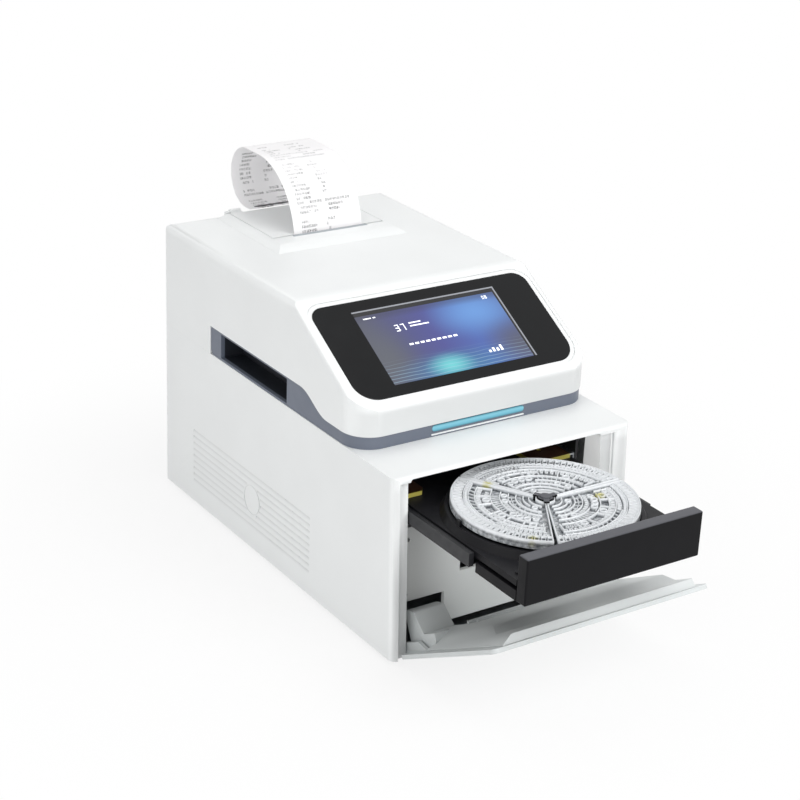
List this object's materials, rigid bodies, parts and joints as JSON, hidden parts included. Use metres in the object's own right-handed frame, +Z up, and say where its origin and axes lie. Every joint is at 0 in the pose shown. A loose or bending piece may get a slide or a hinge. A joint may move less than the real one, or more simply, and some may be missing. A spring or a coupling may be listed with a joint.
{
  "type": "benchtop chemistry analyzer",
  "caption": "White benchtop analyzer with a sloping touch screen, a motor drawer carrying a clear reagent disc, a folding front flap and a roll printer.",
  "frame": {"origin": "middle of the casing's footprint, on the table plane under the feet", "axes": "+Z up, +Y from the front with the drawer to the rear panel, +X to the right of someone facing the front"},
  "size_m": [0.19, 0.4491, 0.2556],
  "materials": {
    "casing_white": "fine satin, moulded",
    "band_grey": "satin",
    "pocket_dark": "matt",
    "light_cyan": "frosted, lit",
    "board_green": "solder mask",
    "zinc_steel": "zinc plated",
    "gold_steel": "gold passivated sheet",
    "black_steel": "fine powder coat",
    "plate_grey": "satin",
    "glass_black": "polished, black printed border",
    "picture_blue": "lit picture",
    "black_abs": "satin",
    "flap_grey": "satin",
    "clear_ps": "clear moulded polystyrene",
    "lens_glass": "polished",
    "cast_alloy": "bead blasted",
    "acetal": "moulded",
    "rubber_black": "moulded",
    "ceramic": "glazed heater line",
    "paper": "thermal paper"
  },
  "bodies": {
    "casing": {"base_pan": "zinc_steel", "feet": "rubber_black", "lower_case": "casing_white", "upper_case": "casing_white", "waist_band": "band_grey", "grip_pocket_left": "pocket_dark", "grip_pocket_right": "pocket_dark", "light_bar": "light_cyan", "light_bar_lip": "casing_white", "led_board": "board_green", "rear_panel": "zinc_steel", "screen_surround": "casing_white", "touch_glass": "glass_black", "picture_panel": "picture_blue", "screen_module": "zinc_steel", "screen_board": "board_green", "inner_front_plate": "plate_grey", "chassis_left": "black_steel", "chassis_right": "black_steel", "fixed_rails": "zinc_steel", "optics_bridge": "black_steel", "photometer_housing": "cast_alloy", "objective_lens": "lens_glass", "lamp_housing": "cast_alloy", "drive_motor": "cast_alloy", "mainboard": "board_green", "power_supply": "zinc_steel", "fan_frame": "black_abs", "fan_guard": "zinc_steel", "power_inlet": "black_abs", "switch_frame": "black_abs", "data_ports": "cast_alloy", "case_screws": "black_steel", "printer_frame": "black_abs", "printer_bezel": "casing_white", "tear_bar": "zinc_steel", "print_head": "ceramic", "roll_spindle": "acetal", "lid_pins": "casing_white", "flap_pins": "zinc_steel"},
    "drawer": {"drawer_tray": "black_abs", "drawer_front": "black_abs", "drawer_apron": "black_abs", "moving_rails": "black_steel", "drawer_rack": "acetal", "carriage_brackets": "gold_steel", "spindle_motor": "cast_alloy"},
    "disc": {"disc_hub": "black_abs", "disc_sector_1": "clear_ps", "disc_sector_2": "clear_ps", "disc_sector_3": "clear_ps"},
    "flap": {"front_flap": "flap_grey", "flap_cover": "flap_grey"},
    "pinion": {"drive_pinion": "acetal"},
    "fan": {"fan_rotor": "black_abs"},
    "rocker": {"power_rocker": "black_abs"},
    "lid": {"printer_lid": "casing_white", "paper_strip": "paper"},
    "platen": {"platen_roller": "rubber_black"},
    "roll": {"paper_roll": "paper"}
  },
  "joints": [
    {"name": "drawer_slide", "type": "slide", "parent": "casing", "child": "drawer", "axis": [0, 1, 0], "range_m": [0, 0.15]},
    {"name": "disc_spin", "type": "hinge", "parent": "drawer", "child": "disc", "pos_m": [-0.012, -0.2, 0.113], "axis": [0, 0, 1], "continuous": true},
    {"name": "flap_hinge", "type": "hinge", "parent": "casing", "child": "flap", "pos_m": [0, -0.1545, 0.0075], "axis": [-1, 0, 0], "range_deg": [0, 64]},
    {"name": "pinion_spin", "type": "hinge", "parent": "casing", "child": "pinion", "pos_m": [0.025, -0.098, 0.08105], "axis": [-1, 0, 0], "range_deg": [0, 983]},
    {"name": "fan_spin", "type": "hinge", "parent": "casing", "child": "fan", "pos_m": [-0.048, 0.149, 0.062], "axis": [0, 1, 0], "continuous": true},
    {"name": "power_rocker_tilt", "type": "hinge", "parent": "casing", "child": "rocker", "pos_m": [0.052, 0.154, 0.064], "axis": [-1, 0, 0], "range_deg": [0, 18]},
    {"name": "printer_lid_hinge", "type": "hinge", "parent": "casing", "child": "lid", "pos_m": [0, 0.1565, 0.2083], "axis": [-1, 0, 0], "range_deg": [0, 55]},
    {"name": "platen_spin", "type": "hinge", "parent": "lid", "child": "platen", "pos_m": [0, 0.091, 0.199], "axis": [1, 0, 0], "continuous": true},
    {"name": "roll_spin", "type": "hinge", "parent": "casing", "child": "roll", "pos_m": [0, 0.124, 0.174], "axis": [1, 0, 0], "continuous": true}
  ],
  "couplings": [
    {"joint": "flap_hinge", "follows": "drawer_slide", "rad_per_m": 7.4467},
    {"joint": "pinion_spin", "follows": "drawer_slide", "rad_per_m": 114.29}
  ]
}
